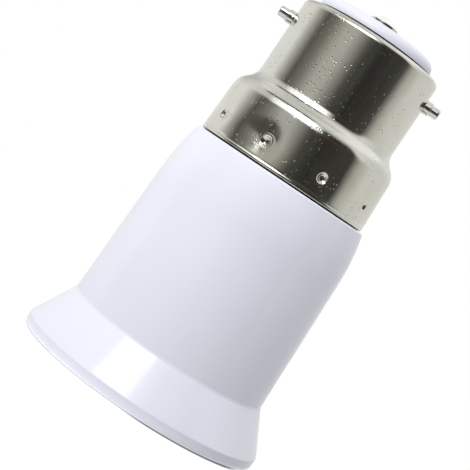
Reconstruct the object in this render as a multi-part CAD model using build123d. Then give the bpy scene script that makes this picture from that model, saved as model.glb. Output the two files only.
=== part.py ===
from build123d import *
import os
from math import atan2, cos, radians, sin, sqrt, tan

os.makedirs("parts", exist_ok=True)

# Lamp socket adapter: a two-pin bayonet cap above, a 27 mm screw socket below. Sizes in millimetres.
# It stands on its rim at z = 0. The bayonet pins point along X, the two end contacts lie along Y.

# Screw socket, from the rim upwards
mouth_depth = 6.8  # rim to the edge of the screw shell
thread_radius = 13.3  # inside of the screw shell
thread_length = 16.5
screw_sheet = 0.3
seat_step = 1.4  # how far the shell narrows above the thread
seat_angle = 45.0
seat_height = 4.7  # top of the thread to the web
seat_bend = 0.7
flange_bend = 0.35
flange_width = 3.9  # inward flange at the closed end, riveted to the web
socket_gap = 0.15  # round the screw shell in the housing
web_thickness = 3.0
platform_height = 1.0  # raised pad that keeps the centre contact off the flange
platform_gap = 0.2
wiring_height = 5.0  # web to the joint between plastic and metal

# Housing
rim_radius = 19.0
rim_height = 1.5
rim_wall = 2.2
rim_round = 0.5
flare_height = 6.35
flare_cove = 1.0
foot_wall = 1.8  # wall just above the flare
head_wall = 1.15  # wall under the rounded shoulder
shoulder_drop = 7.6  # height of the rounded shoulder
joint_step = 0.45  # plastic standing proud of the metal skirt
joint_round = 0.3
mouth_lead = 0.3  # screw shell's edge behind the end of the mouth's cone
mouth_foot = 0.6  # upright stretch of the mouth at the rim
edge_break = 0.35
room_gap = 0.15  # wiring room round the rivets
neck_wall = 1.15
neck_gap = 0.1

# Bayonet cap
skirt_spread = 0.35  # extra radius at the skirt's open edge
skirt_height = 8.7
skirt_edge = 0.12
cone_height = 1.75
barrel_radius = 11.0
barrel_height = 12.65
cap_sheet = 0.35
shoulder_bend = 2.8
shoulder_cove = 2.5
lip_bend = 0.9
lip_flat = 0.6
dimple_count = 9
dimple_rise = 3.2  # joint to the ring of crimp dimples
dimple_depth = 0.5
punch_radius = 1.0

# Bayonet pins
pin_radius = 0.78
pin_length = 2.35
pin_drop = 3.45  # lip down to the pins
pin_round = 0.3
collar_radius = 0.98
collar_length = 1.0
collar_round = 0.15
pin_gap = 0.04
spigot_radius = 0.6
clinch_radius = 1.3
clinch_thickness = 0.4

# End insulator and its contacts
disc_flange = 1.6
disc_gap = 0.15
boss_rise = 1.95  # disc above the lip
boss_gap = 0.4  # boss inside the rolled lip
boss_round = 1.4
contact_offset = 5.0
eyelet_radius = 1.4
eyelet_wall = 0.4
eyelet_flange = 2.1
eyelet_sheet = 0.4
eyelet_gap = 0.05
solder_margin = 0.25  # eyelet's flange showing round the solder
solder_height = 0.95
solder_plug = 0.8  # solder drawn down into the eyelet
solder_gap = 0.03

# Centre contact, a bent spring strip
leaf_width = 5.0
leaf_sheet = 0.4
leaf_margin = 0.5  # foot's end to the platform's edge
leaf_corner = 0.8
leaf_bend = 0.6
foot_length = 3.1
tongue_angle = 28.0
curl_radius = 1.8
curl_angle = 62.0

# Rivets and wires
rivet_radius = 0.75
rivet_head = 1.3
head_height = 0.6
head_round = 0.35
head_gap = 0.65  # head to the screw shell's wall
tail_height = 0.5  # clinched end above the web
rivet_gap = 0.05
fillet_radius = 1.15  # solder on a rivet
fillet_height = 1.0
fillet_wall = 0.15  # solder round the wire where it thins out
core_radius = 0.45
core_set = 0.15  # wire's end above the rivet, inside the solder
core_reach = 0.3  # wire's end above the eyelet, inside the solder
sleeve_wall = 0.45
sleeve_gap = 0.05
bare_length = 1.6  # bare wire at each end of a sleeve
lead_rise = 3.0  # upright start of a sleeve
lead_fall = 8.0  # upright end of a sleeve
bend_share = 0.8  # part of the upright start that a wire's bend takes

# Heights that follow from these sizes
thread_top = mouth_depth + thread_length
web_z = thread_top + seat_height
platform_z = web_z - platform_height
web_top = web_z + web_thickness
joint_z = web_top + wiring_height
skirt_top = joint_z + skirt_height
barrel_foot = skirt_top + cone_height
lip_z = barrel_foot + barrel_height
under_lip = lip_z - cap_sheet
disc_z = under_lip - disc_flange
pin_z = lip_z - pin_drop
boss_z = lip_z + boss_rise
wire_foot = web_top + tail_height + core_set
wire_top = boss_z + eyelet_sheet + core_reach

# Radii and places, from the screw shell inwards and then out to the cap
socket_radius = thread_radius + screw_sheet + socket_gap
seat_radius = thread_radius - seat_step
rivet_circle = seat_radius - head_gap - rivet_head
flange_radius = seat_radius - flange_width
platform_radius = flange_radius - platform_gap
foot_end = leaf_margin - platform_radius
room_radius = rivet_circle + rivet_head + room_gap
skirt_radius = room_radius + neck_wall + neck_gap + cap_sheet
lip_radius = barrel_radius - lip_bend - lip_flat
cap_turn = atan2(skirt_radius - barrel_radius, cone_height)
centre_place = (foot_end + foot_length / 2, 0)
rear_place = (0, rivet_circle)
front_place = (0, -rivet_circle)


def soften(face, rounds):
    """Round the corners of a face, given as (corner, radius)."""
    for corner, radius in rounds:
        face = fillet(face.vertices().sort_by_distance(corner)[0], radius)
    return face


def turned(face, centre=(0, 0)):
    """Revolve a face drawn as (radius, height) about an upright axis."""
    return Pos(centre[0], centre[1], 0) * revolve(Plane.XZ * face, Axis.Z)


def cap_corners(inset):
    """Corners of the cap's skirt, cone and barrel, moved inwards by a wall or a gap."""
    drop = inset * tan(cap_turn / 2)
    edge = (skirt_radius + skirt_spread - inset, joint_z)
    corner = (skirt_radius - inset, skirt_top - drop)
    cove = (barrel_radius - inset, barrel_foot - drop)
    return edge, corner, cove


def dimples(radius):
    """Ring of balls where the crimping punches press the skirt into the neck."""
    skirt_here = skirt_radius + skirt_spread * (1 - dimple_rise / skirt_height)
    reach = skirt_here + punch_radius - dimple_depth
    ball = Pos(reach, 0, joint_z + dimple_rise) * Sphere(radius, rotation=(0, 0, 180))
    step = 360 / dimple_count
    return [Rot(0, 0, step * (i + 0.5) - 90) * ball for i in range(dimple_count)]


def pin_slots():
    """Two upright slots that let the clinched ends of the pins pass."""
    wall = barrel_radius - cap_sheet
    floor = sqrt(wall**2 - clinch_radius**2) - clinch_thickness - disc_gap
    foot = pin_z - clinch_radius - disc_gap
    width = 2 * (clinch_radius + disc_gap)
    slot = Box(wall - floor, width, lip_z - foot, align=(Align.MIN, Align.CENTER, Align.MIN))
    slot = Pos(floor, 0, foot) * slot
    return [slot, Rot(0, 0, 180) * slot]


def rivet_holes(places, low, high):
    """Holes for the shanks of rivets."""
    hole = Cylinder(rivet_radius + rivet_gap, high - low, align=(Align.CENTER, Align.CENTER, Align.MIN))
    return [Pos(x, y, low) * hole for x, y in places]


def housing():
    """Moulded body: flared rim, tapered wall, rounded shoulder, web and the neck inside the cap."""
    inset = cap_sheet + neck_gap
    neck_edge, neck_corner, neck_cove = cap_corners(inset)
    _, room_corner, room_cove = cap_corners(inset + neck_wall)
    rim_inside = rim_radius - rim_wall
    crease = (socket_radius + foot_wall, rim_height + flare_height)
    head = (socket_radius + head_wall, joint_z - shoulder_drop)
    brow = (skirt_radius + skirt_spread + joint_step, joint_z)
    outside = Polyline(
        (rim_inside, mouth_foot),
        (rim_inside, 0),
        (rim_radius, 0),
        (rim_radius, rim_height),
        crease,
        head,
    )
    shoulder = TangentArc(head, brow, tangent=Vector(head) - Vector(crease))
    neck_and_inside = Polyline(
        brow,
        neck_edge,
        neck_corner,
        neck_cove,
        (neck_cove[0], disc_z),
        (room_cove[0], disc_z),
        room_cove,
        room_corner,
        (room_radius, web_top),
        (0, web_top),
        (0, platform_z),
        (platform_radius, platform_z),
        (platform_radius, web_z),
        (socket_radius, web_z),
        (socket_radius, mouth_depth - mouth_lead),
        (rim_inside, mouth_foot),
    )
    rounds = [
        ((rim_radius, 0), rim_round),
        ((rim_inside, 0), edge_break),
        ((rim_radius, rim_height), edge_break),
        (crease, flare_cove),
        (brow, joint_round),
        (neck_corner, shoulder_bend - inset),
        (neck_cove, shoulder_cove + inset),
        ((platform_radius, platform_z), edge_break),
    ]
    body = turned(soften(make_face(outside + shoulder + neck_and_inside), rounds))
    for pocket in dimples(punch_radius + cap_sheet + neck_gap):
        body -= pocket
    body -= pin_slots()
    return body - rivet_holes([centre_place, rear_place, front_place], platform_z, web_top)


def bayonet_shell():
    """Drawn sheet cap with its rolled lip, its ring of crimp dimples and two pin holes."""
    edge, corner, cove = cap_corners(0)
    edge_in, corner_in, cove_in = cap_corners(cap_sheet)
    top = (barrel_radius, lip_z)
    top_in = (barrel_radius - cap_sheet, under_lip)
    lip = (lip_radius, lip_z)
    lip_in = (lip_radius, under_lip)
    outline = [edge, corner, cove, top, lip, lip_in, top_in, cove_in, corner_in, edge_in]
    rounds = [
        (edge, skirt_edge),
        (corner, shoulder_bend),
        (cove, shoulder_cove),
        (top, lip_bend),
        (top_in, lip_bend - cap_sheet),
        (cove_in, shoulder_cove + cap_sheet),
        (corner_in, shoulder_bend - cap_sheet),
    ]
    sheet = turned(soften(make_face(Polyline(*outline, close=True)), rounds))
    mid_edge, mid_corner, _ = cap_corners(cap_sheet / 2)
    inside = make_face(Polyline((0, joint_z), mid_edge, mid_corner, (0, mid_corner[1]), close=True))
    for ball in dimples(punch_radius + cap_sheet):
        sheet += ball & turned(inside)
    for ball in dimples(punch_radius):
        sheet -= ball
    pin_hole = Cylinder(spigot_radius + pin_gap, 2 * skirt_radius, rotation=(0, 90, 0))
    return sheet - Pos(0, 0, pin_z) * pin_hole


def bayonet_pin(turn):
    """Pin with a collar seated on the barrel, its spigot clinched inside."""
    wall = sqrt((barrel_radius - cap_sheet) ** 2 - clinch_radius**2) - pin_gap
    collar_end = barrel_radius + collar_length
    tip = barrel_radius + pin_length
    outline = Polyline(
        (wall - clinch_thickness, 0),
        (wall - clinch_thickness, clinch_radius),
        (wall, clinch_radius),
        (wall, spigot_radius),
        (barrel_radius, spigot_radius),
        (barrel_radius, collar_radius),
        (collar_end, collar_radius),
        (collar_end, pin_radius),
        (tip, pin_radius),
        (tip, 0),
        close=True,
    )
    rounds = [((collar_end, collar_radius), collar_round), ((tip, pin_radius), pin_round)]
    face = soften(make_face(outline), rounds)
    return Pos(0, 0, pin_z) * Rot(0, 0, turn) * revolve(face, Axis.X)


def end_insulator():
    """White disc held under the rolled lip, with a boss that stands out through it."""
    flange = barrel_radius - cap_sheet - disc_gap
    boss = lip_radius - boss_gap
    outline = Polyline(
        (0, disc_z),
        (flange, disc_z),
        (flange, under_lip),
        (boss, under_lip),
        (boss, boss_z),
        (0, boss_z),
        close=True,
    )
    rounds = [((flange, under_lip), lip_bend - cap_sheet), ((boss, boss_z), boss_round)]
    disc = turned(soften(make_face(outline), rounds))
    hole = Cylinder(eyelet_radius + eyelet_gap, 2 * boss_z)
    return disc - [Pos(0, y, 0) * hole for y in (-contact_offset, contact_offset)] - pin_slots()


def end_contact(y):
    """Contact eyelet through the disc, flanged above and clinched below."""
    bore = eyelet_radius - eyelet_wall
    outline = Polyline(
        (bore, disc_z - eyelet_sheet),
        (eyelet_flange, disc_z - eyelet_sheet),
        (eyelet_flange, disc_z),
        (eyelet_radius, disc_z),
        (eyelet_radius, boss_z),
        (eyelet_flange, boss_z),
        (eyelet_flange, boss_z + eyelet_sheet),
        (bore, boss_z + eyelet_sheet),
        close=True,
    )
    return turned(make_face(outline), (0, y))


def end_solder(y):
    """Solder on an eyelet: a low dome with a plug round the wire's end."""
    seat = boss_z + eyelet_sheet
    crown = seat + solder_height
    edge = eyelet_flange - solder_margin
    plug = eyelet_radius - eyelet_wall - solder_gap
    bore = core_radius + solder_gap
    dome = TangentArc((0, crown), (edge, seat), tangent=(1, 0))
    underside = Polyline(
        (edge, seat),
        (plug, seat),
        (plug, seat - solder_plug),
        (bore, seat - solder_plug),
        (bore, wire_top + solder_gap),
        (0, wire_top + solder_gap),
        (0, crown),
    )
    return turned(make_face(dome + underside), (0, y))


def screw_shell():
    """Plain sleeve of the screw thread, narrowed above it and flanged inwards against the web."""
    seat_turn = radians(seat_angle)
    rise = screw_sheet * tan(seat_turn / 2)
    cone_top = thread_top + seat_step / tan(seat_turn)
    corner_in = (thread_radius, thread_top)
    cove_in = (seat_radius, cone_top)
    end_in = (seat_radius, web_z - screw_sheet)
    corner = (thread_radius + screw_sheet, thread_top + rise)
    cove = (seat_radius + screw_sheet, cone_top + rise)
    end = (seat_radius + screw_sheet, web_z)
    outline = Polyline(
        (thread_radius, mouth_depth),
        corner_in,
        cove_in,
        end_in,
        (flange_radius, web_z - screw_sheet),
        (flange_radius, web_z),
        end,
        cove,
        corner,
        (thread_radius + screw_sheet, mouth_depth),
        close=True,
    )
    rounds = [
        (corner_in, seat_bend),
        (corner, seat_bend + screw_sheet),
        (cove_in, seat_bend + screw_sheet),
        (cove, seat_bend),
        (end_in, flange_bend),
        (end, flange_bend + screw_sheet),
    ]
    shell = turned(soften(make_face(outline), rounds))
    return shell - rivet_holes([rear_place, front_place], web_z - screw_sheet, web_z)


def centre_contact():
    """Spring strip: a foot on the platform, a bend, a sloping tongue and a curled tip on the axis."""
    bend_x = foot_end + foot_length
    slope = radians(tongue_angle)
    tongue_length = (-bend_x - (leaf_bend + curl_radius) * sin(slope)) / cos(slope)
    foot = Line((foot_end, 0), (bend_x, 0))
    bend = CenterArc((bend_x, -leaf_bend), leaf_bend, 90, -tongue_angle)
    tongue = Line(bend @ 1, bend @ 1 + Vector(cos(slope), -sin(slope)) * tongue_length)
    hub = tongue @ 1 + Vector(sin(slope), cos(slope)) * curl_radius
    curl = CenterArc(hub, curl_radius, -90 - tongue_angle, curl_angle)
    face = make_face(offset(foot + bend + tongue + curl, amount=leaf_sheet, side=Side.LEFT))
    strip = extrude(Plane.XZ.offset(-leaf_width / 2) * face, leaf_width)
    strip = Pos(0, 0, platform_z - leaf_sheet) * strip
    strip = fillet(strip.edges().filter_by(Axis.Z).group_by(Axis.X)[0], leaf_corner)
    return strip - rivet_holes([centre_place], platform_z - leaf_sheet, platform_z)


def rivet(place, seat):
    """Rivet with a round head below its seat and a clinched end above the web."""
    low = seat - head_height
    tail = web_top + tail_height
    outline = Polyline(
        (0, low),
        (rivet_head, low),
        (rivet_head, seat),
        (rivet_radius, seat),
        (rivet_radius, web_top),
        (rivet_head, web_top),
        (rivet_head, tail),
        (0, tail),
        close=True,
    )
    return turned(soften(make_face(outline), [((rivet_head, low), head_round)]), place)


def rivet_solder(place):
    """Solder that fixes a wire's end on a rivet, drawn up along the wire."""
    seat = web_top + tail_height
    crown = seat + fillet_height
    bore = core_radius + solder_gap
    pit = wire_foot - solder_gap
    flank = TangentArc((bore + fillet_wall, crown), (fillet_radius, seat), tangent=(0, -1))
    underside = Polyline(
        (fillet_radius, seat),
        (0, seat),
        (0, pit),
        (bore, pit),
        (bore, crown),
        (bore + fillet_wall, crown),
    )
    return turned(make_face(flank + underside), place)


def wire(section, place, y, low, high):
    """Sweep a section upright from a rivet, across on a slant and upright to an end contact."""
    turn_low = web_top + tail_height + bare_length + lead_rise
    turn_high = disc_z - bare_length - lead_fall
    across = sqrt(place[0] ** 2 + (place[1] - y) ** 2)
    turn = atan2(across, turn_high - turn_low)
    points = [(*place, low), (*place, turn_low), (0, y, turn_high), (0, y, high)]
    route = FilletPolyline(*points, radius=bend_share * lead_rise / tan(turn / 2))
    return sweep(Pos(*place, low) * section, path=route)


def core(place, y):
    """Copper wire from the solder on a rivet to the solder on an end contact."""
    return wire(Circle(core_radius), place, y, wire_foot, wire_top)


def insulation(place, y):
    """Sleeve over the middle of a wire."""
    bore = core_radius + sleeve_gap
    ring = Circle(bore + sleeve_wall) - Circle(bore)
    return wire(ring, place, y, web_top + tail_height + bare_length, disc_z - bare_length)


shell_seat = web_z - screw_sheet
pieces = {
    "housing": housing(),
    "bayonet_shell": bayonet_shell(),
    "bayonet_pin_left": bayonet_pin(180),
    "bayonet_pin_right": bayonet_pin(0),
    "end_insulator": end_insulator(),
    "front_contact": end_contact(-contact_offset),
    "rear_contact": end_contact(contact_offset),
    "front_solder": end_solder(-contact_offset),
    "rear_solder": end_solder(contact_offset),
    "screw_shell": screw_shell(),
    "centre_contact": centre_contact(),
    "centre_rivet": rivet(centre_place, platform_z - leaf_sheet),
    "shell_rivets": Compound([rivet(rear_place, shell_seat), rivet(front_place, shell_seat)]),
    "live_core": core(centre_place, -contact_offset),
    "live_insulation": insulation(centre_place, -contact_offset),
    "neutral_core": core(rear_place, contact_offset),
    "neutral_insulation": insulation(rear_place, contact_offset),
    "live_solder": rivet_solder(centre_place),
    "neutral_solder": rivet_solder(rear_place),
}

for name, piece in pieces.items():
    export_step(piece, f"parts/{name}.step")
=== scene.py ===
from math import atan2, ceil, cos, exp, hypot, pi, radians, sin, tan

import bmesh
import bpy
from mathutils import Matrix, Vector, noise


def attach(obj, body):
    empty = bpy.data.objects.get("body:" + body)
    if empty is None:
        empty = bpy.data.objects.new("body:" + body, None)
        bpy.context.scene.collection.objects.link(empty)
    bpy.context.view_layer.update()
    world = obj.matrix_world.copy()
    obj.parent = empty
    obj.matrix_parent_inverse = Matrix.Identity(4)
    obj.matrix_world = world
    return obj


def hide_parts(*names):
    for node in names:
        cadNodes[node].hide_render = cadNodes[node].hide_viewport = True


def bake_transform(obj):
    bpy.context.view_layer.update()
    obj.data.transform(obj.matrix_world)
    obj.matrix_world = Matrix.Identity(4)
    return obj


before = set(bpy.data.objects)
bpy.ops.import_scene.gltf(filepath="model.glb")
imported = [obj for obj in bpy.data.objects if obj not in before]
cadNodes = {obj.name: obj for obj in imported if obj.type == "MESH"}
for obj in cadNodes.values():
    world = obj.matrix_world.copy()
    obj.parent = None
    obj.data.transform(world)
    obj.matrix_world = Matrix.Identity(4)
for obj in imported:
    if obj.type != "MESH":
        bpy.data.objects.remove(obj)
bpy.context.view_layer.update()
mm = 0.001  # the scene is in metres, while lengths below are in mm and angles in degrees
print("frame loaded:", len(cadNodes), "nodes")


def inMetres(lengths):
    return [length * mm for length in lengths]


def inRadians(angles):
    return [radians(angle) for angle in angles]


# Camera: the adapter leans to the right in the picture, seen level with the joint of plastic and metal
shot = {
    "pictureWidth": 470,  # pixels, square
    "pixelsPerMm": 7.12,  # at the adapter's axis
    "jointPixel": (280.6, 179.75),
    "jointHeight": 36.0,
    "lean": 33.8,
    "distance": 216.0,
    "sensor": 36.0,
    "clipStart": 1.0,
}


def setCamera():
    lean = radians(shot["lean"])
    right = Vector((cos(lean), 0, sin(lean)))
    up = Vector((-sin(lean), 0, cos(lean)))
    middle = shot["pictureWidth"] / 2
    across = (middle - shot["jointPixel"][0]) / shot["pixelsPerMm"]
    down = (middle - shot["jointPixel"][1]) / shot["pixelsPerMm"]
    joint = Vector((0, 0, shot["jointHeight"]))
    place = joint - Vector((0, shot["distance"], 0))
    look = (joint + right * across - up * down - place).normalized()
    side = look.cross(up).normalized()
    turn = Matrix((side, side.cross(look), -look)).transposed().to_4x4()
    data = bpy.data.cameras.new("camera")
    data.sensor_width = shot["sensor"]
    data.lens = shot["sensor"] * shot["pixelsPerMm"] * shot["distance"] / shot["pictureWidth"]
    data.clip_start = shot["clipStart"] * mm
    camera = bpy.data.objects.new("camera", data)
    camera.matrix_world = Matrix.Translation(place * mm) @ turn
    bpy.context.scene.collection.objects.link(camera)
    bpy.context.scene.camera = camera


setCamera()
print("camera set")


# Short hands for shader trees
def addNode(tree, kind, settings=None, **links):
    node = tree.nodes.new(kind)
    for name, value in (settings or {}).items():
        if hasattr(node, name):
            setattr(node, name, value)
        else:
            node.inputs[name].default_value = value
    for name, source in links.items():
        tree.links.new(source, node.inputs[name])
    return node


def doMath(tree, operation, *values):
    node = tree.nodes.new("ShaderNodeMath")
    node.operation = operation
    for socket, value in zip(node.inputs, values):
        if isinstance(value, (int, float)):
            socket.default_value = value
        else:
            tree.links.new(value, socket)
    return node.outputs[0]


def lengthOf(tree, vector):
    return addNode(tree, "ShaderNodeVectorMath", {"operation": "LENGTH"}, Vector=vector).outputs["Value"]


def splitUp(tree, vector):
    return addNode(tree, "ShaderNodeSeparateXYZ", Vector=vector).outputs


def mapRange(tree, value, low, high, toLow=0.0, toHigh=1.0, smooth=False):
    node = tree.nodes.new("ShaderNodeMapRange")
    if smooth:
        node.interpolation_type = "SMOOTHSTEP"
    tree.links.new(value, node.inputs["Value"])
    for name, number in zip(("From Min", "From Max", "To Min", "To Max"), (low, high, toLow, toHigh)):
        node.inputs[name].default_value = number
    return node.outputs["Result"]


def mixColours(tree, share, first, second):
    node = tree.nodes.new("ShaderNodeMix")
    node.data_type = "RGBA"
    # the node's colour sockets are 6, 7 and 2
    for socket, value in ((node.inputs[0], share), (node.inputs[6], first), (node.inputs[7], second)):
        if isinstance(value, bpy.types.NodeSocket):
            tree.links.new(value, socket)
        else:
            socket.default_value = value
    return node.outputs[2]


def mixShaders(tree, share, first, second):
    node = tree.nodes.new("ShaderNodeMixShader")
    for socket, source in zip(node.inputs, (share, first, second)):
        tree.links.new(source, socket)
    return node.outputs[0]


def ramp(tree, value, stops):
    node = tree.nodes.new("ShaderNodeValToRGB")
    elements = node.color_ramp.elements
    while len(elements) < len(stops):
        elements.new(0.5)
    for element, (position, colour) in zip(elements, stops):
        element.position = position
        element.color = colour
    tree.links.new(value, node.inputs["Fac"])
    return node.outputs["Color"]


def grey(level):
    return (level, level, level, 1.0)


def emission(tree, level=1.0, **links):
    return addNode(tree, "ShaderNodeEmission", {"Color": grey(level)}, **links).outputs[0]


# Studio: white all round for the camera, soft fill, and rings of light and dark cards that metal mirrors
studio = {
    "fill": 0.77,
    "fillTowards": (-0.84, -0.06, 0.54),  # the side that the soft light comes from
    "fillSpread": 0.235,
    "cards": [  # degrees to the right of the camera's side, and how bright it is there
        (-180, 0.88),
        (-112, 0.90),
        (-97, 0.48),
        (-80, 0.09),
        (-62, 0.22),
        (-44, 0.50),
        (-28, 0.51),
        (-2, 0.06),
        (22, 0.02),
        (63, 0.05),
        (75, 0.50),
        (94, 0.74),
        (180, 0.80),
    ],
    "cardWarmth": (1.0, 0.965, 0.83),  # tint of the darkest cards
    "cardTop": (11, 20),  # how far up a surface tilts where the cards end and the ceiling starts
    "mirrorLimit": 0.6,  # least reach forward in the reckoning of turn and tilt
    "frontEnd": (0.35, 0.55),  # what is made for the camera's side fades out towards the back
    "frontLift": 13,  # the dark cards reach this much higher right of the camera
    "frontSpan": (-6, 31),
    "frontSoft": 6,
    "ceiling": [  # how far right a surface turns to mirror it, and how bright it is there
        (-67, 0.93),
        (-44, 0.75),
        (-30, 0.57),
        (-13, 0.55),
        (0, 0.66),
        (20, 0.78),
        (35, 0.86),
        (54, 0.72),
        (90, 0.72),
    ],
    "ceilingWarmth": (1.0, 0.995, 0.95),
    "zenithTilt": (34.5, 39),  # the ceiling gets brighter between these tilts
    "zenithGain": 1.27,
    # cards of their own, by how far a surface turns right and tilts up to mirror them
    "brownCard": {
        "colour": (0.060, 0.034, 0.025, 1.0),
        "span": (-1, 30),
        "tilt": (9, 17),
        "soft": (3, 1.5),  # blur of both
    },
    "brightSheet": {
        "colour": grey(1.35),
        "span": (-33, 3),
        "tilt": (13, 30),
        "soft": (4, 1.5),
    },
    "sheetEdge": {
        "colour": grey(0.10),
        "span": (-42, -3),
        "tilt": (31.0, 35.6),
        "soft": (4, 0.6),
    },
}


def cardStops(stops, reach=180, warmth=studio["cardWarmth"]):
    tints = []
    for angle, level in stops:
        tint = [level * (dark + (1 - dark) * level) for dark in warmth]
        tints.append(((angle + reach) / (2 * reach), (*tint, 1.0)))
    return tints


def azimuthOf(tree, parts):
    towardsCamera = doMath(tree, "MULTIPLY", parts["Y"], -1.0)
    return doMath(tree, "ARCTAN2", parts["X"], towardsCamera)


def insideSpan(tree, value, span, soft):
    low, high = inRadians(span)
    soft = radians(soft)
    rise = mapRange(tree, value, low - soft, low + soft, smooth=True)
    fall = mapRange(tree, value, high - soft, high + soft, 1.0, 0.0, smooth=True)
    return doMath(tree, "MULTIPLY", rise, fall)


def mirrorAngles(tree, parts):
    # the way a mirror must turn and tilt to show this direction to someone in front of it
    forward = doMath(tree, "MAXIMUM", doMath(tree, "SUBTRACT", 1.0, parts["Y"]), studio["mirrorLimit"])
    squares = [doMath(tree, "POWER", length, 2.0) for length in (parts["X"], forward)]
    level = doMath(tree, "SQRT", doMath(tree, "ADD", *squares))
    return doMath(tree, "ARCTAN2", parts["X"], forward), doMath(tree, "ARCTAN2", parts["Z"], level)


def mirroredRoom(tree, direction):
    parts = splitUp(tree, direction)
    turn, tilt = mirrorAngles(tree, parts)
    inFront = mapRange(tree, parts["Y"], *studio["frontEnd"], 1.0, 0.0)

    def hang(card, picture):
        wide = insideSpan(tree, turn, card["span"], card["soft"][0])
        tall = insideSpan(tree, tilt, card["tilt"], card["soft"][1])
        share = doMath(tree, "MULTIPLY", inFront, doMath(tree, "MULTIPLY", wide, tall))
        return mixColours(tree, share, picture, card["colour"])

    around = mapRange(tree, azimuthOf(tree, parts), -pi, pi)
    cards = hang(studio["brownCard"], ramp(tree, around, cardStops(studio["cards"])))
    across = mapRange(tree, turn, -pi / 2, pi / 2)
    ceiling = ramp(tree, across, cardStops(studio["ceiling"], 90, studio["ceilingWarmth"]))
    gain = mapRange(tree, tilt, *inRadians(studio["zenithTilt"]), 1.0, studio["zenithGain"])
    lit = addNode(tree, "ShaderNodeVectorMath", {"operation": "SCALE"}, Vector=ceiling, Scale=gain)
    raised = insideSpan(tree, turn, studio["frontSpan"], studio["frontSoft"])
    raised = doMath(tree, "MULTIPLY", inFront, raised)
    height = doMath(tree, "MULTIPLY_ADD", raised, -radians(studio["frontLift"]), tilt)
    above = mapRange(tree, height, *inRadians(studio["cardTop"]))
    room = mixColours(tree, above, cards, lit.outputs["Vector"])
    return hang(studio["sheetEdge"], hang(studio["brightSheet"], room))


def softFill(tree, direction):
    facing = addNode(tree, "ShaderNodeVectorMath", {"operation": "DOT_PRODUCT"}, Vector=direction)
    facing.inputs[1].default_value = Vector(studio["fillTowards"]).normalized()
    level, spread = studio["fill"], studio["fillSpread"]
    return mapRange(tree, facing.outputs["Value"], -1, 1, level - spread, level + spread)


def buildWorld():
    world = bpy.data.worlds.new("studio")
    world.use_nodes = True
    tree = world.node_tree
    direction = addNode(tree, "ShaderNodeTexCoord").outputs["Generated"]
    path = addNode(tree, "ShaderNodeLightPath").outputs
    light = mixColours(tree, path["Is Glossy Ray"], softFill(tree, direction), mirroredRoom(tree, direction))
    clear = doMath(tree, "MAXIMUM", path["Is Camera Ray"], path["Is Transmission Ray"])
    colour = mixColours(tree, clear, light, grey(1.0))
    tree.links.new(colour, tree.nodes["Background"].inputs["Color"])
    bpy.context.scene.world = world
    bpy.context.scene.view_settings.view_transform = "Standard"


buildWorld()

# Lamps: one that the plastic's flare mirrors, and one behind that nothing mirrors
lamps = {
    "aim": (-3.5, -17.0, 5.0),
    "distance": 280,
    "size": (158, 105),
    "frontTowards": (-0.31, -0.57, 0.78),
    "frontPower": 0.25,
    "backTowards": (0.45, 0.70, 0.55),
    "backPower": 0.16,
}


def addSoftbox(name, towards, power, mirrored):
    data = bpy.data.lights.new(name, "AREA")
    data.shape = "RECTANGLE"
    data.size, data.size_y = inMetres(lamps["size"])
    data.energy = power
    lamp = bpy.data.objects.new(name, data)
    towards = Vector(towards).normalized()
    lamp.location = (Vector(lamps["aim"]) + towards * lamps["distance"]) * mm
    lamp.rotation_euler = towards.to_track_quat("Z", "Y").to_euler()
    lamp.visible_glossy = mirrored
    bpy.context.scene.collection.objects.link(lamp)


addSoftbox("softbox", lamps["frontTowards"], lamps["frontPower"], True)
addSoftbox("backLight", lamps["backTowards"], lamps["backPower"], False)

# Floor: pale, with its lengths measured outwards from the adapter's axis
ground = {
    "half": 3000,  # of its side
    "drop": 0.05,  # below the rim
    "glow": 0.84,
    "catch": 0.26,  # how well it shows a shadow
    "foot": (18.3, 19.0),  # its glow goes out under the rim: painted shade
    "line": (19.2, 19.7),  # the end of a thin painted shadow line at the rim's foot
    "lineSpan": (2, 60),  # degrees to the right of the camera's side
    "lineSoft": 8,
    "fade": (80, 220),  # where it turns into plain white
    "mirror": (50, 130),  # where metal mirrors cards in place of it
    "cards": [  # degrees to the right of the camera's side, and how bright it is there
        (-180, 0.85),
        (-96, 0.90),
        (-88, 0.30),
        (-78, 0.08),
        (-44, 0.06),
        (-32, 0.30),
        (-20, 0.30),
        (-8, 0.06),
        (62, 0.06),
        (80, 0.55),
        (112, 0.80),
        (180, 0.85),
    ],
    "bounce": [  # how far out, and how much soft light it gives back there
        (19.0, 0.95),
        (20.4, 0.28),
        (30.0, 0.28),
        (55.0, 0.46),
    ],
    "bounceLean": 0.83,  # share that this gains on the left and loses on the right
    "bounceBow": 0.35,  # how far the middle is drawn towards the left's share
    "bounceFoot": (19.0, 19.7),  # next to the rim it loses less
}


def seenFloor(tree, away, azimuth):
    # near the adapter the floor takes its shadow, further off it is plain white
    catch = addNode(tree, "ShaderNodeBsdfDiffuse", {"Color": grey(ground["catch"])})
    # painted shade: the glow goes out under the rim, and along a thin line at the rim's foot right of the
    # camera
    glow = mapRange(tree, away, *inMetres(ground["foot"]), 0.0, ground["glow"])
    close = mapRange(tree, away, *inMetres(ground["line"]), -1.0, 0.0)
    inLine = insideSpan(tree, azimuth, ground["lineSpan"], ground["lineSoft"])
    glow = doMath(tree, "MULTIPLY_ADD", glow, doMath(tree, "MULTIPLY", close, inLine), glow)
    near = tree.nodes.new("ShaderNodeAddShader")
    tree.links.new(catch.outputs[0], near.inputs[0])
    tree.links.new(emission(tree, Strength=glow), near.inputs[1])
    far = mapRange(tree, away, *inMetres(ground["fade"]), smooth=True)
    return mixShaders(tree, far, near.outputs[0], emission(tree))


def mirroredFloor(tree, away, azimuth):
    cards = ramp(tree, mapRange(tree, azimuth, -pi, pi), cardStops(ground["cards"]))
    far = mapRange(tree, away, *inMetres(ground["mirror"]), smooth=True)
    return mixShaders(tree, far, emission(tree, ground["glow"]), emission(tree, Color=cards))


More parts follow.
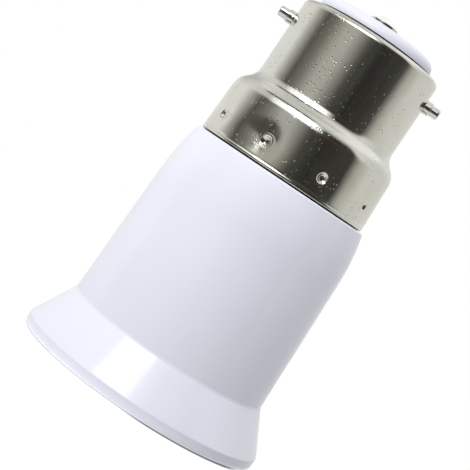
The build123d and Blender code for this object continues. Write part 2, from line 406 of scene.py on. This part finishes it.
def bouncedLight(tree, away, parts):
    nearest, furthest = ground["bounce"][0][0], ground["bounce"][-1][0]
    stops = [((r - nearest) / (furthest - nearest), grey(level)) for r, level in ground["bounce"]]
    level = ramp(tree, mapRange(tree, away, nearest * mm, furthest * mm), stops)
    lean, bow = ground["bounceLean"], ground["bounceBow"]
    sideways = doMath(tree, "DIVIDE", parts["X"], away)
    bowed = doMath(tree, "MULTIPLY", sideways, doMath(tree, "MULTIPLY_ADD", sideways, bow, 1.0))
    share = doMath(tree, "MULTIPLY_ADD", bowed, -lean, 1.0 + lean * bow)
    beside = mapRange(tree, away, *inMetres(ground["bounceFoot"]), 1.0, 0.0)
    share = doMath(tree, "MAXIMUM", share, beside)
    return emission(tree, Strength=doMath(tree, "MULTIPLY", level, share))


def floorMaterial():
    material = bpy.data.materials.new("paleFloor")
    material.use_nodes = True
    tree = material.node_tree
    tree.nodes.remove(tree.nodes["Principled BSDF"])
    path = addNode(tree, "ShaderNodeLightPath").outputs
    spot = addNode(tree, "ShaderNodeNewGeometry").outputs
    away = lengthOf(tree, spot["Position"])
    parts = splitUp(tree, spot["Position"])
    azimuth = azimuthOf(tree, parts)
    seen, mirrored = seenFloor(tree, away, azimuth), mirroredFloor(tree, away, azimuth)
    whole = mixShaders(tree, path["Is Glossy Ray"], seen, mirrored)
    whole = mixShaders(tree, path["Is Diffuse Ray"], whole, bouncedLight(tree, away, parts))
    # a look from below goes straight through
    clear = addNode(tree, "ShaderNodeBsdfTransparent").outputs[0]
    whole = mixShaders(tree, spot["Backfacing"], whole, clear)
    tree.links.new(whole, tree.nodes["Material Output"].inputs["Surface"])
    return material


def addFloor():
    half, height = ground["half"] * mm, -ground["drop"] * mm
    corners = [(x * half, y * half, height) for x, y in ((-1, -1), (1, -1), (1, 1), (-1, 1))]
    mesh = bpy.data.meshes.new("floor")
    mesh.from_pydata(corners, [], [(0, 1, 2, 3)])
    mesh.materials.append(floorMaterial())
    floor = bpy.data.objects.new("floor", mesh)
    bpy.context.scene.collection.objects.link(floor)


addFloor()
print("studio lit")


# Materials. Coordinates are metres in the shared frame, so a noise scale of 1000 gives grains near 1 mm
noiseSpan = (0.3, 0.7)  # most of a noise's values lie in here


def startMaterial(name, colour, metallic=0.0, roughness=0.5):
    material = bpy.data.materials.new(name)
    material.use_nodes = True
    shader = material.node_tree.nodes["Principled BSDF"]
    shader.inputs["Base Color"].default_value = (*colour, 1.0)
    shader.inputs["Metallic"].default_value = metallic
    shader.inputs["Roughness"].default_value = roughness
    return material, material.node_tree, shader


def surfacePoint(tree):
    return addNode(tree, "ShaderNodeTexCoord").outputs["Object"]


def noiseOn(tree, point, scale, detail):
    settings = {"Scale": scale, "Detail": detail}
    return addNode(tree, "ShaderNodeTexNoise", settings, Vector=point).outputs["Fac"]


def grainOn(tree, point, scale, detail, depth):
    return noiseOn(tree, point, scale, detail), depth


def pitsOn(tree, point, scale, size, share):
    cells = addNode(tree, "ShaderNodeTexVoronoi", {"Scale": scale}, Vector=point).outputs
    lot = addNode(tree, "ShaderNodeSeparateColor", Color=cells["Color"]).outputs["Red"]
    chosen = doMath(tree, "LESS_THAN", lot, share)
    dent = mapRange(tree, cells["Distance"], 0.0, size, 1.0, 0.0, smooth=True)
    return doMath(tree, "MULTIPLY", chosen, dent)


def tintBy(tree, value, span, first, second):
    return mixColours(tree, mapRange(tree, value, *span), (*first, 1.0), (*second, 1.0))


def roughBy(tree, shader, value, gloss, spread):
    rough = mapRange(tree, value, *noiseSpan, gloss - spread[0], gloss + spread[1])
    tree.links.new(rough, shader.inputs["Roughness"])


def bumpBy(tree, shader, *layers):
    normal = None
    for height, depth in layers:  # depth in mm, less than nought for dents
        settings = {"Strength": 1.0, "Distance": abs(depth) * mm, "invert": depth < 0}
        node = addNode(tree, "ShaderNodeBump", settings, Height=height)
        if normal:
            tree.links.new(normal, node.inputs["Normal"])
        normal = node.outputs["Normal"]
    tree.links.new(normal, shader.inputs["Normal"])


# White plastic: a faint cloud in the tint, slow waves and a fine grain, and painted shade where it meets the
# metal
plastic = {
    "cloud": (90, 3),  # noise scale and detail
    "cloudSpan": (0.35, 0.65),
    "sheen": (420, 3),
    "sheenSpread": (0.03, 0.05),
    "waves": (300, 1, 0.010),  # with the depth of the bump
    "grain": (2600, 2, 0.0006),
    "ior": 1.5,
    # painted shade in the seam where the plastic meets the metal
    "darkTint": (0.006, 0.006, 0.007, 1.0),
    "seamSoft": 0.02,
    "looks": {  # the seam, darkened as painted shade, lies between two heights and no further out than a radius
        "housingPlastic": {
            "first": (0.80, 0.818, 0.92),
            "second": (0.815, 0.833, 0.93),
            "gloss": 0.15,
            "seam": (35.9, 38, 13.5),
        },
        "discPlastic": {
            "first": (0.755, 0.767, 0.86),
            "second": (0.765, 0.777, 0.87),
            "gloss": 0.40,
            "seam": (58.0, 59.43, 20),
        },
    },
}


def insideSeam(tree, point, seam):
    height = splitUp(tree, point)["Z"]
    flat = addNode(tree, "ShaderNodeVectorMath", {"operation": "MULTIPLY"}, Vector=point)
    flat.inputs[1].default_value = (1, 1, 0)
    away = lengthOf(tree, flat.outputs["Vector"])
    low, high, reach = inMetres(seam)
    soft = plastic["seamSoft"] * mm
    above = mapRange(tree, height, low - soft, low + soft)
    below = mapRange(tree, height, high - soft, high + soft, 1.0, 0.0)
    within = mapRange(tree, away, reach - soft, reach + soft, 1.0, 0.0)
    return doMath(tree, "MULTIPLY", doMath(tree, "MULTIPLY", above, below), within)


def whitePlastic(name, first, second, gloss, seam):
    material, tree, shader = startMaterial(name, first, roughness=gloss)
    point = surfacePoint(tree)
    plainTint = tintBy(tree, noiseOn(tree, point, *plastic["cloud"]), plastic["cloudSpan"], first, second)
    # painted shade: the seam where the plastic meets the metal is darkened
    darkened = mixColours(tree, insideSeam(tree, point, seam), plainTint, plastic["darkTint"])
    tree.links.new(darkened, shader.inputs["Base Color"])
    roughBy(tree, shader, noiseOn(tree, point, *plastic["sheen"]), gloss, plastic["sheenSpread"])
    bumpBy(tree, shader, *(grainOn(tree, point, *plastic[layer]) for layer in ("waves", "grain")))
    shader.inputs["IOR"].default_value = plastic["ior"]
    return material


# Nickel plate: clouded tint, drawn streaks in the gloss, and dark pits that crowd in patches
plating = {
    "cloud": (160, 4),
    "cloudSpan": (0.45, 0.75),
    "streak": (1500, 3),
    "streakStretch": (1, 1, 0.06),
    "streakSpread": (0.03, 0.05),
    "grain": (1800, 2, 0.0012),
    "patches": (230, 1),
    "patchSpan": (0.46, 0.58),
    "strayShare": 0.012,  # share of the cells that hold a pit outside the patches
    "pitScale": 2300,
    "pitSize": 0.34,
    "pitDepth": 0.03,
    "darkTint": (0.03, 0.03, 0.028, 1.0),
    "dirtSpan": (0.35, 0.85),
    "looks": {
        "capNickel": {
            "bright": (0.72, 0.725, 0.67),
            "dull": (0.66, 0.65, 0.575),
            "gloss": 0.13,
            "pitShare": 0.55,
        },
        "pinNickel": {
            "bright": (0.74, 0.735, 0.70),
            "dull": (0.66, 0.65, 0.61),
            "gloss": 0.08,
            "pitShare": 0.15,
        },
    },
}


def platedMetal(name, bright, dull, gloss, pitShare):
    material, tree, shader = startMaterial(name, bright, metallic=1.0, roughness=gloss)
    point = surfacePoint(tree)
    tint = tintBy(tree, noiseOn(tree, point, *plating["cloud"]), plating["cloudSpan"], bright, dull)
    drawn = addNode(tree, "ShaderNodeMapping", {"Scale": plating["streakStretch"]}, Vector=point)
    streak = noiseOn(tree, drawn.outputs["Vector"], *plating["streak"])
    roughBy(tree, shader, streak, gloss, plating["streakSpread"])
    patches = noiseOn(tree, point, *plating["patches"])
    share = mapRange(tree, patches, *plating["patchSpan"], plating["strayShare"], pitShare)
    pits = pitsOn(tree, point, plating["pitScale"], plating["pitSize"], share)
    darkened = mixColours(tree, mapRange(tree, pits, *plating["dirtSpan"]), tint, plating["darkTint"])
    tree.links.new(darkened, shader.inputs["Base Color"])
    bumpBy(tree, shader, grainOn(tree, point, *plating["grain"]), (pits, -plating["pitDepth"]))
    return material


# Bare metal of the contacts, the solder and the inside
bareMetal = {
    "cloud": (420, 4),
    "cloudSpan": (0.35, 0.7),
    "sheen": (1300, 3),
    "sheenSpread": (0.06, 0.10),
    "grain": (1500, 3),
    "looks": {  # bright and dull tint, roughness, depth of the grain, and how metallic it is
        "eyeletTin": ((0.74, 0.72, 0.66), (0.62, 0.58, 0.50), 0.16, 0.004, 1.0),
        "solderTin": ((0.96, 0.96, 0.96), (0.90, 0.90, 0.90), 0.30, 0.008, 0.4),
        "sleeveBrass": ((0.86, 0.70, 0.42), (0.78, 0.61, 0.34), 0.24, 0.0015, 1.0),
        "leafBronze": ((0.82, 0.61, 0.39), (0.72, 0.51, 0.31), 0.28, 0.0015, 1.0),
        "rivetBrass": ((0.80, 0.63, 0.34), (0.66, 0.49, 0.25), 0.30, 0.004, 1.0),
        "coreCopper": ((0.85, 0.47, 0.31), (0.70, 0.36, 0.23), 0.32, 0.004, 1.0),
    },
}


def plainMetal(name, bright, dull, gloss, depth, metallic):
    material, tree, shader = startMaterial(name, bright, metallic=metallic, roughness=gloss)
    point = surfacePoint(tree)
    tint = tintBy(tree, noiseOn(tree, point, *bareMetal["cloud"]), bareMetal["cloudSpan"], bright, dull)
    tree.links.new(tint, shader.inputs["Base Color"])
    roughBy(tree, shader, noiseOn(tree, point, *bareMetal["sheen"]), gloss, bareMetal["sheenSpread"])
    bumpBy(tree, shader, grainOn(tree, point, *bareMetal["grain"], depth))
    return material


# Soft sleeves of the wires
pvc = {
    "gloss": 0.45,
    "cloud": (300, 3),
    "cloudSpan": (0.35, 0.65),
    "grain": (2500, 2, 0.004),
    "looks": {
        "livePvc": ((0.16, 0.065, 0.03), (0.19, 0.08, 0.04)),
        "neutralPvc": ((0.03, 0.10, 0.36), (0.04, 0.12, 0.40)),
    },
}


def sleevePvc(name, first, second):
    material, tree, shader = startMaterial(name, first, roughness=pvc["gloss"])
    point = surfacePoint(tree)
    tint = tintBy(tree, noiseOn(tree, point, *pvc["cloud"]), pvc["cloudSpan"], first, second)
    tree.links.new(tint, shader.inputs["Base Color"])
    bumpBy(tree, shader, grainOn(tree, point, *pvc["grain"]))
    return material


finishes = {}
for finish, look in plastic["looks"].items():
    finishes[finish] = whitePlastic(finish, **look)
for finish, look in plating["looks"].items():
    finishes[finish] = platedMetal(finish, **look)
for finish, look in bareMetal["looks"].items():
    finishes[finish] = plainMetal(finish, *look)
for finish, look in pvc["looks"].items():
    finishes[finish] = sleevePvc(finish, *look)

nodeFinish = {
    "housing": "housingPlastic",
    "end_insulator": "discPlastic",
    "bayonet_shell": "capNickel",
    "bayonet_pin_left": "pinNickel",
    "bayonet_pin_right": "pinNickel",
    "front_contact": "eyeletTin",
    "rear_contact": "eyeletTin",
    "front_solder": "solderTin",
    "rear_solder": "solderTin",
    "live_solder": "solderTin",
    "neutral_solder": "solderTin",
    "screw_shell": "sleeveBrass",
    "centre_contact": "leafBronze",
    "centre_rivet": "rivetBrass",
    "shell_rivets": "rivetBrass",
    "live_core": "coreCopper",
    "neutral_core": "coreCopper",
    "live_insulation": "livePvc",
    "neutral_insulation": "neutralPvc",
}
for nodeName, finish in nodeFinish.items():
    slots = cadNodes[nodeName].data.materials
    slots.clear()
    slots.append(finishes[finish])
print("finishes on", len(nodeFinish), "nodes")

# Short hands for meshes, with profiles as (radius, height) in mm
bench = {
    "straight": 0.001,  # radians, and a corner that turns by less stays as it is
    "arcPieces": 3,  # fewest pieces of a rounded corner
    "edgeShare": 3,  # a sheet's cut edge is rounded this many times less on its inner side
    "drillLength": 4,
    "drillSides": 32,
}


def roundedLoop(corners, step):
    points = []
    for i, (r, z, bend) in enumerate(corners):
        here = Vector((r, z))
        before = (here - Vector(corners[i - 1][:2])).normalized()
        after = (Vector(corners[(i + 1) % len(corners)][:2]) - here).normalized()
        turn = atan2(before.cross(after), before.dot(after))
        if bend <= 0 or abs(turn) < bench["straight"]:
            points.append(here)
            continue
        reach = bend * tan(abs(turn) / 2)
        side = Vector((-before.y, before.x)) * (1 if turn > 0 else -1)
        hub = here - before * reach + side * bend
        arm = -side * bend
        count = max(bench["arcPieces"], ceil(abs(turn) * bend / step))
        for k in range(count + 1):
            swing = turn * k / count
            x = arm.x * cos(swing) - arm.y * sin(swing)
            y = arm.x * sin(swing) + arm.y * cos(swing)
            points.append(hub + Vector((x, y)))
    return points


def insetPath(corners, distance):
    moved = []
    for i, (r, z, bend) in enumerate(corners):
        here = Vector((r, z))
        before = here - Vector(corners[i - 1][:2]) if i else Vector(corners[1][:2]) - here
        after = Vector(corners[i + 1][:2]) - here if i + 1 < len(corners) else before
        before.normalize()
        after.normalize()
        sides = [Vector((-run.y, run.x)) for run in (before, after)]
        shift = (sides[0] + sides[1]) / (1 + sides[0].dot(sides[1])) * distance
        turn = before.cross(after)
        inner = bend - distance if turn > 0 else bend + distance
        if i in (0, len(corners) - 1):
            inner = bend / bench["edgeShare"]
        moved.append((r + shift.x, z + shift.y, inner if bend else 0))
    return moved


def splitRuns(points, stepAt):
    path = []
    for i, here in enumerate(points):
        there = points[(i + 1) % len(points)]
        pieces = max(1, ceil((there - here).length / stepAt(here.lerp(there, 0.5))))
        path += [here.lerp(there, k / pieces) for k in range(pieces)]
    return path


def newPiece(name, verts, faces, finish, body="adapter"):
    mesh = bpy.data.meshes.new(name)
    mesh.from_pydata([Vector(v) * mm for v in verts], [], faces)
    mesh.materials.append(finishes[finish])
    piece = bpy.data.objects.new(name, mesh)
    bpy.context.scene.collection.objects.link(piece)
    form = bmesh.new()
    form.from_mesh(mesh)
    bmesh.ops.recalc_face_normals(form, faces=form.faces)
    form.to_mesh(mesh)
    form.free()
    mesh.shade_smooth()
    if body:
        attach(piece, body)
    return piece


def lathe(path, angles, push):
    verts = []
    for r, z in path:
        for angle in angles:
            reach = r + push(angle, r, z)
            verts.append((reach * cos(angle), reach * sin(angle), z))
    rows, cols = len(path), len(angles)
    faces = []
    for i in range(rows):
        for j in range(cols):
            up, on = (i + 1) % rows, (j + 1) % cols
            faces.append((i * cols + j, i * cols + on, up * cols + on, up * cols + j))
    return verts, faces


def smoothStep(low, high, value):
    share = min(1.0, max(0.0, (value - low) / (high - low)))
    return share * share * (3 - 2 * share)


def drill(piece, places, radius, axis):
    cutter = bmesh.new()
    for place in places:
        turn = Vector(axis).to_track_quat("Z", "Y").to_matrix().to_4x4()
        bmesh.ops.create_cone(
            cutter,
            cap_ends=True,
            segments=bench["drillSides"],
            radius1=radius * mm,
            radius2=radius * mm,
            depth=bench["drillLength"] * mm,
            matrix=Matrix.Translation(Vector(place) * mm) @ turn,
        )
    mesh = bpy.data.meshes.new("drill")
    cutter.to_mesh(mesh)
    cutter.free()
    tool = bpy.data.objects.new("drill", mesh)
    bpy.context.scene.collection.objects.link(tool)
    cut = piece.modifiers.new("holes", "BOOLEAN")
    cut.operation = "DIFFERENCE"
    cut.object = tool
    bpy.context.view_layer.update()
    done = piece.evaluated_get(bpy.context.evaluated_depsgraph_get())
    drilled = bpy.data.meshes.new_from_object(done)
    piece.modifiers.clear()
    piece.data = drilled
    bpy.data.objects.remove(tool)
    drilled.shade_smooth()


# Nickel cap: drawn sheet with a skirt, a shoulder, a barrel, a rolled lip and a ring of punched dimples
cap = {
    "sheet": 0.35,
    "outside": [  # radius, height, bend
        (13.345, 36.13, 0.24),
        (13.335, 36.55, 0.1),
        (13.275, 36.71, 0.1),
        (13.31, 36.98, 0.3),
        (13.0, 44.7, 2.8),
        (11.0, 46.45, 2.5),
        (11.0, 59.1, 0.9),
        (9.5, 59.1, 0),
    ],
    "skirtTop": 4,  # its place in that list
    "pressedBelow": 44,  # dimples and dents are in the skirt only, below this height
    "pressedOutside": 12,  # and further out than this radius
    "dimples": 9,
    "dimpleHeight": 39.2,
    "dimpleFloor": 0.30,  # radius
    "dimpleMouth": 0.86,
    "dimpleDepth": 0.32,
    "lipHeight": 0.035,  # a raised lip round each dimple
    "lipPlace": 0.98,
    "lipWidth": 0.16,
    "sagDepth": 0.10,  # the sheet gives a little round each dimple
    "sagWidth": 1.6,
    "dents": [  # and more by the left one in front: angle, height, depth, reach left and right, down and up
        (-115.0, 38.9, 0.27, (4.8, 2.8), (1.9, 2.4)),
        (-111.7, 38.85, 0.15, (0.65, 0.65), (0.65, 0.65)),
    ],
    "sagInside": 0.25,  # share of all this on the sheet's inner face
    "thinnest": 0.075,  # wall that is left in the deepest dent
    "footFade": 1.2,  # from this far above the foot, all of it fades out downwards
    "wave": 0.02,  # the whole sheet is this uneven, by a noise
    "waveRound": 1.7,  # radius of the circle that a row follows in that noise
    "waveUp": 0.13,  # way through the noise for a mm of height
    "pinReach": 11.0,
    "pinHeight": 55.65,
    "pinHole": 0.64,
    "arcStep": 0.2,
    "rowStep": 0.5,
    "columnStep": 1.4,
    "fineRow": 0.09,  # steps at the dimples
    "fineMargin": 0.4,
    "fineColumn": 0.5,
    "fineSpan": 6,
}


def capPush(angle, r, z):
    circle = cap["waveRound"]
    push = cap["wave"] * noise.noise(Vector((circle * cos(angle), circle * sin(angle), z * cap["waveUp"])))
    if z > cap["pressedBelow"] or r < cap["pressedOutside"]:
        return push
    step = 2 * pi / cap["dimples"]
    across = ((angle + pi / 2) % step - step / 2) * r
    away = hypot(across, z - cap["dimpleHeight"])
    push -= cap["dimpleDepth"] * (1 - smoothStep(cap["dimpleFloor"], cap["dimpleMouth"], away))
    push += cap["lipHeight"] * exp(-(((away - cap["lipPlace"]) / cap["lipWidth"]) ** 2))
    sag = cap["sagDepth"] * exp(-((away / cap["sagWidth"]) ** 2))
    for dentAngle, height, depth, wide, tall in cap["dents"]:
        aside = ((angle - radians(dentAngle) + pi) % (2 * pi) - pi) * r
        rise = z - height
        sag += depth * exp(-((aside / wide[aside > 0]) ** 2) - (rise / tall[rise > 0]) ** 2)
    (lowR, lowZ, _), (highR, highZ, _) = cap["outside"][0], cap["outside"][cap["skirtTop"]]
    inner = r < lowR + (highR - lowR) * (z - lowZ) / (highZ - lowZ) - cap["sheet"] / 2
    if inner:
        sag = max(sag * cap["sagInside"], sag - cap["sheet"] + cap["thinnest"])
    push -= sag
    return push * smoothStep(lowZ, lowZ + cap["footFade"], z)


def capRows():
    outside = cap["outside"]
    inside = insetPath(outside, cap["sheet"])
    loop = roundedLoop(outside + inside[::-1], cap["arcStep"])

    def stepAt(point):
        atDimple = abs(point.y - cap["dimpleHeight"]) < cap["dimpleMouth"] + cap["fineMargin"]
        return cap["fineRow"] if atDimple else cap["rowStep"]

    return splitRuns(splitRuns(loop, lambda point: cap["rowStep"]), stepAt)


def capColumns():
    step = 360 / cap["dimples"]
    fine, plain = cap["fineColumn"], cap["columnStep"]
    span = cap["fineSpan"]
    plainCount = round((step / 2 - span) / plain)
    offsets = [-step / 2 + plain * k for k in range(plainCount)]
    offsets += [-span + fine * k for k in range(round(2 * span / fine))]
    offsets += [span + plain * k for k in range(plainCount)]
    return [radians(-90 + step / 2 + step * i + offset) for i in range(cap["dimples"]) for offset in offsets]


def buildCap():
    verts, faces = lathe(capRows(), capColumns(), capPush)
    piece = newPiece("nickelCap", verts, faces, "capNickel")
    holes = [(side * cap["pinReach"], 0, cap["pinHeight"]) for side in (-1, 1)]
    drill(piece, holes, cap["pinHole"], (1, 0, 0))
    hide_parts("bayonet_shell")
    return piece


nickelCap = buildCap()
print("nickel cap:", len(nickelCap.data.polygons), "faces")

# Screw sleeve: sheet rolled into a round thread, necked in and flanged against the web
sleeve = {
    "sheet": 0.30,
    "inside": [  # radius, height, bend
        (13.3, 6.8, 0),
        (13.3, 23.3, 0.7),
        (11.9, 24.7, 1.0),
        (11.9, 27.7, 0.35),
        (8.0, 27.7, 0),
    ],
    "pitch": 3.63,
    "threadDepth": 1.15,
    "threadSpan": (7.3, 22.9),
    "threadFade": 2.2,
    "threadOutside": 13.0,  # the neck and the flange, further in than this, have no thread
    "rivetCircle": 9.95,
    "rivetHeight": 27.85,
    "rivetHole": 0.8,
    "arcStep": 0.15,
    "rowStep": 0.22,
    "columns": 144,
}


def sleevePush(angle, r, z):
    if r < sleeve["threadOutside"]:
        return 0.0
    low, high = sleeve["threadSpan"]
    fade = sleeve["threadFade"]
    share = smoothStep(low, low + fade, z) * (1 - smoothStep(high - fade, high, z))
    phase = 2 * pi * z / sleeve["pitch"] - angle
    return -sleeve["threadDepth"] * share * (1 - cos(phase)) / 2


def buildSleeve():
    inside = sleeve["inside"]
    outside = insetPath(inside, -sleeve["sheet"])
    loop = roundedLoop(inside + outside[::-1], sleeve["arcStep"])
    path = splitRuns(loop, lambda point: sleeve["rowStep"])
    angles = [2 * pi * k / sleeve["columns"] for k in range(sleeve["columns"])]
    verts, faces = lathe(path, angles, sleevePush)
    piece = newPiece("screwSleeve", verts, faces, "sleeveBrass")
    holes = [(0, side * sleeve["rivetCircle"], sleeve["rivetHeight"]) for side in (-1, 1)]
    drill(piece, holes, sleeve["rivetHole"], (0, 0, 1))
    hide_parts("screw_shell")
    return piece


screwSleeve = buildSleeve()
print("screw sleeve:", len(screwSleeve.data.polygons), "faces")

# Centre contact: a spring strip that leaves the platform in a bend, slopes down and curls up at its tip
leaf = {
    "width": 5.0,
    "sheet": 0.4,
    "footEnd": -7.3,
    "footLength": 3.1,
    "footCorner": 0.8,
    "footUnder": 26.6,
    "bend": 0.6,  # radius on the underside, as for the curl
    "slope": 28.0,
    "curl": 1.8,
    "curlTurn": 62.0,
    "edge": 0.07,  # broken edges
    "edgeNick": 0.3,  # share of that by which an edge's middle lies in from both faces
    "rivetPlace": (-5.75, 0, 26.8),
    "rivetHole": 0.8,
    "flexEnd": 2.2,  # how far past the bend the strip still flexes
    "pieces": {"foot": 14, "bend": 6, "run": 16, "curl": 14, "across": 12},
}


def leafLine():
    slope, curlTurn = radians(leaf["slope"]), radians(leaf["curlTurn"])
    bendX = leaf["footEnd"] + leaf["footLength"]
    run = (-bendX - (leaf["bend"] + leaf["curl"]) * sin(slope)) / cos(slope)
    x, z, heading = leaf["footEnd"], leaf["footUnder"], 0.0
    points = [(x, z, heading)]
    stretches = [
        (leaf["footLength"], 0.0, leaf["pieces"]["foot"]),
        (leaf["bend"] * slope, -slope, leaf["pieces"]["bend"]),
        (run, 0.0, leaf["pieces"]["run"]),
        (leaf["curl"] * curlTurn, curlTurn, leaf["pieces"]["curl"]),
    ]
    for length, turn, count in stretches:
        for _ in range(count):
            middle = heading + turn / count / 2
            chord = length / count
            x += chord * cos(middle)
            z += chord * sin(middle)
            heading += turn / count
            points.append((x, z, heading))
    return points


def leafSection(x):
    thick, edge, across = leaf["sheet"], leaf["edge"], leaf["pieces"]["across"]
    nick = leaf["edgeNick"] * edge
    # the foot's end has rounded corners
    corner = leaf["footCorner"]
    inset = max(0.0, corner - (x - leaf["footEnd"]))
    wide = leaf["width"] / 2 - (corner - (max(0.0, corner**2 - inset**2)) ** 0.5)
    under = [(-wide + edge + 2 * (wide - edge) * k / across, 0.0) for k in range(across + 1)]
    right = [(wide - nick, nick), (wide, edge), (wide, thick - edge), (wide - nick, thick - nick)]
    over = [(-y, thick) for y, _ in under]
    left = [(-y, rise) for y, rise in reversed(right)]
    return under + right + over + left


def buildLeaf():
    verts, faces = [], []
    line = leafLine()
    for x, z, heading in line:
        for y, rise in leafSection(x):
            verts.append((x - rise * sin(heading), y, z + rise * cos(heading)))
    ring = len(verts) // len(line)
    for i in range(len(line) - 1):
        for j in range(ring):
            on = (j + 1) % ring
            faces.append((i * ring + j, i * ring + on, (i + 1) * ring + on, (i + 1) * ring + j))
    last = (len(line) - 1) * ring
    faces.append(tuple(range(ring)))
    faces.append(tuple(last + j for j in range(ring)))
    piece = newPiece("springLeaf", verts, faces, "leafBronze", body=None)
    drill(piece, [leaf["rivetPlace"]], leaf["rivetHole"], (0, 0, 1))
    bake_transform(piece)
    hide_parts("centre_contact")
    return piece


springLeaf = buildLeaf()
print("spring leaf:", len(springLeaf.data.polygons), "faces")

# Solder on the end contacts: uneven domes that wet the eyelets, with a plug in each
blob = {
    "edge": 1.85,  # radius
    "seat": 61.45,
    "height": 0.95,
    "offset": 5.0,  # from the axis
    "crown": 0.97,  # share of the height that the top keeps on average
    "fullness": 0.8,  # lower is fuller
    "rippleScale": 1.6,
    "edgeRipple": 0.035,
    "topRipple": 0.10,
    "frontSeed": 3.7,
    "rearSeed": 8.2,
    "plug": [  # radius and height of what fills the eyelet round the wire's end
        (0.97, 61.45),
        (0.97, 60.65),
        (0.48, 60.65),
        (0.48, 61.78),
    ],
    "rows": 22,
    "columns": 56,
}


def buildBlob(name, side, seed, node):
    y0, seat, height = side * blob["offset"], blob["seat"], blob["height"]
    rows, cols = blob["rows"], blob["columns"]
    angles = [2 * pi * j / cols for j in range(cols)]
    verts, faces = [(0, y0, seat + height * blob["crown"])], []
    for i in range(1, rows + 1):
        share = i / rows
        arch = cos(share * pi / 2) ** blob["fullness"]
        for angle in angles:
            place = Vector((cos(angle) * share, sin(angle) * share, seed))
            ripple = noise.noise(place * blob["rippleScale"])
            reach = blob["edge"] * share * (1 + blob["edgeRipple"] * ripple * share)
            rise = height * arch * (blob["crown"] + blob["topRipple"] * ripple * (1 - share))
            verts.append((reach * cos(angle), y0 + reach * sin(angle), seat + min(rise, height)))
    for r, z in blob["plug"]:
        verts += [(r * cos(angle), y0 + r * sin(angle), z) for angle in angles]
    rings = rows + len(blob["plug"])
    for j in range(cols):
        faces.append((0, 1 + j, 1 + (j + 1) % cols))
    for i in range(rings - 1):
        for j in range(cols):
            here, on = 1 + i * cols + j, 1 + i * cols + (j + 1) % cols
            faces.append((here, here + cols, on + cols, on))
    faces.append(tuple(1 + (rings - 1) * cols + j for j in range(cols)))
    piece = newPiece(name, verts, faces, "solderTin")
    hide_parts(node)
    return piece


buildBlob("frontSolderDome", -1, blob["frontSeed"], "front_solder")
buildBlob("rearSolderDome", 1, blob["rearSeed"], "rear_solder")
print("solder domes on the end contacts")
